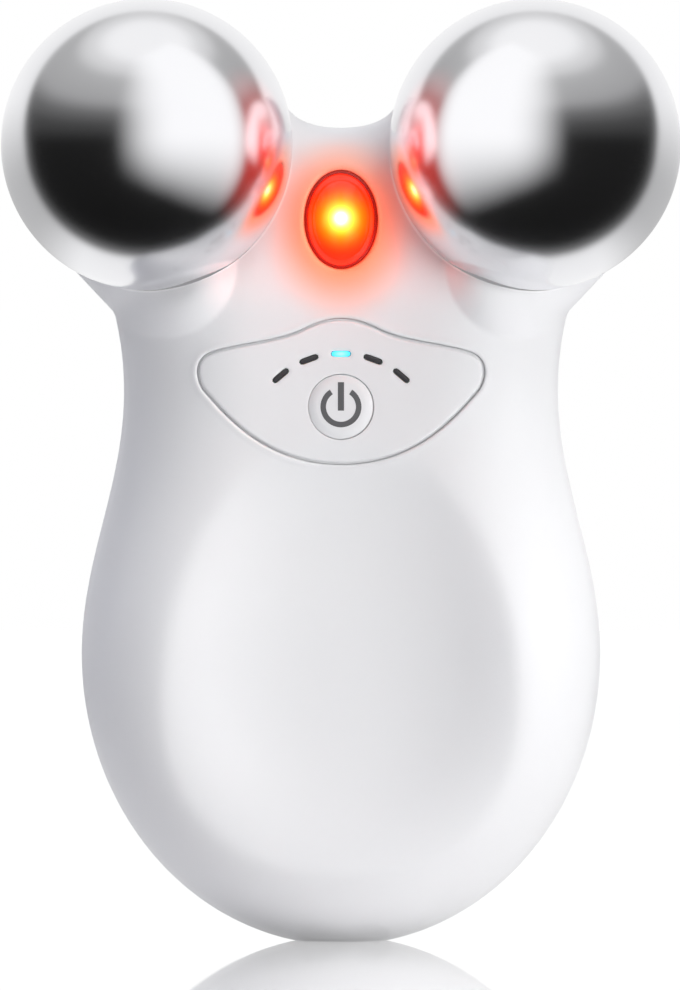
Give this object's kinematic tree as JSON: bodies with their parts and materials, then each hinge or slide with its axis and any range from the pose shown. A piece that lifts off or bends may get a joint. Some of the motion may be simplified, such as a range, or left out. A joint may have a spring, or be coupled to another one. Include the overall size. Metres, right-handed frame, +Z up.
{
  "type": "facial toning device",
  "caption": "Hand-held facial toning device with a pear-shaped casing, polished electrode spheres, a glowing oval light window and a push-button control panel.",
  "frame": {"origin": "centre of the small flat that the device stands on, on the casing's parting plane", "axes": "+Z up along the device's length, -Y out of the front where the panel and the spheres are, +X to the right seen from the front"},
  "size_m": [0.0718, 0.0429, 0.0998],
  "materials": {
    "casing_white": "glossy moulded white ABS",
    "plug_white": "soft white rubber",
    "steel": "zinc plated steel",
    "chrome": "polished chrome plate",
    "legend_grey": "dark grey moulded-in symbol",
    "level_dark": "dark grey unlit level window",
    "level_lit": "lit cyan level window",
    "window_red": "glowing translucent red polycarbonate",
    "bezel_dark": "dark red bezel",
    "black_plastic": "black plastic",
    "natural_plastic": "natural plastic",
    "led_resin": "LED resin",
    "circuit_board": "green solder mask on glass epoxy",
    "gasket_rubber": "black silicone rubber",
    "pad_foam": "dark foam",
    "brass_lug": "tinned brass",
    "ferrite": "ferrite and copper winding",
    "cell_foil": "aluminium laminate pouch",
    "adhesive": "acrylic adhesive film",
    "wire_red": "red silicone wire",
    "wire_blue": "blue silicone wire"
  },
  "bodies": {
    "casing": {"front_shell": "casing_white", "rear_shell": "casing_white", "case_screws": "steel", "screw_plugs": "plug_white", "control_panel": "casing_white", "panel_adhesive": "adhesive", "light_pipe_1": "level_dark", "light_pipe_2": "level_dark", "light_pipe_3": "level_lit", "light_pipe_4": "level_dark", "light_pipe_5": "level_dark", "light_shield": "black_plastic", "indicator_leds": "led_resin", "light_window": "window_red", "window_bezel": "bezel_dark", "red_led": "led_resin", "led_board": "circuit_board", "led_board_screws": "steel", "led_leads": "wire_red", "sphere_left": "chrome", "sphere_right": "chrome", "sphere_gasket_left": "gasket_rubber", "sphere_gasket_right": "gasket_rubber", "sphere_stud_left": "steel", "sphere_stud_right": "steel", "terminal_lug_left": "brass_lug", "terminal_lug_right": "brass_lug", "stud_nuts": "steel", "electrode_lead_left": "wire_blue", "electrode_lead_right": "wire_blue", "main_board": "circuit_board", "controller_chip": "black_plastic", "charging_chip": "black_plastic", "boost_inductor": "ferrite", "buzzer": "black_plastic", "switch_body": "black_plastic", "battery_connector": "natural_plastic", "battery_cell": "cell_foil", "battery_tape": "adhesive", "battery_pad": "pad_foam", "battery_leads": "wire_red", "inner_frame": "natural_plastic", "board_screws": "steel", "frame_screws": "steel", "port_shell": "steel", "port_tongue": "black_plastic", "port_board": "circuit_board", "port_board_screws": "steel", "port_leads": "wire_red"},
    "button": {"power_button": "casing_white", "button_legend": "legend_grey"},
    "plunger": {"switch_plunger": "natural_plastic"}
  },
  "joints": [
    {"name": "button_press", "type": "slide", "parent": "casing", "child": "button", "axis": [0, 1, 0], "range_m": [0, 0.0003], "stiffness_N_per_m": 900, "springref_m": -0.0001},
    {"name": "plunger_press", "type": "slide", "parent": "casing", "child": "plunger", "axis": [0, 1, 0], "range_m": [0, 0.0003]}
  ],
  "couplings": [
    {"joint": "plunger_press", "follows": "button_press", "ratio": 1}
  ]
}
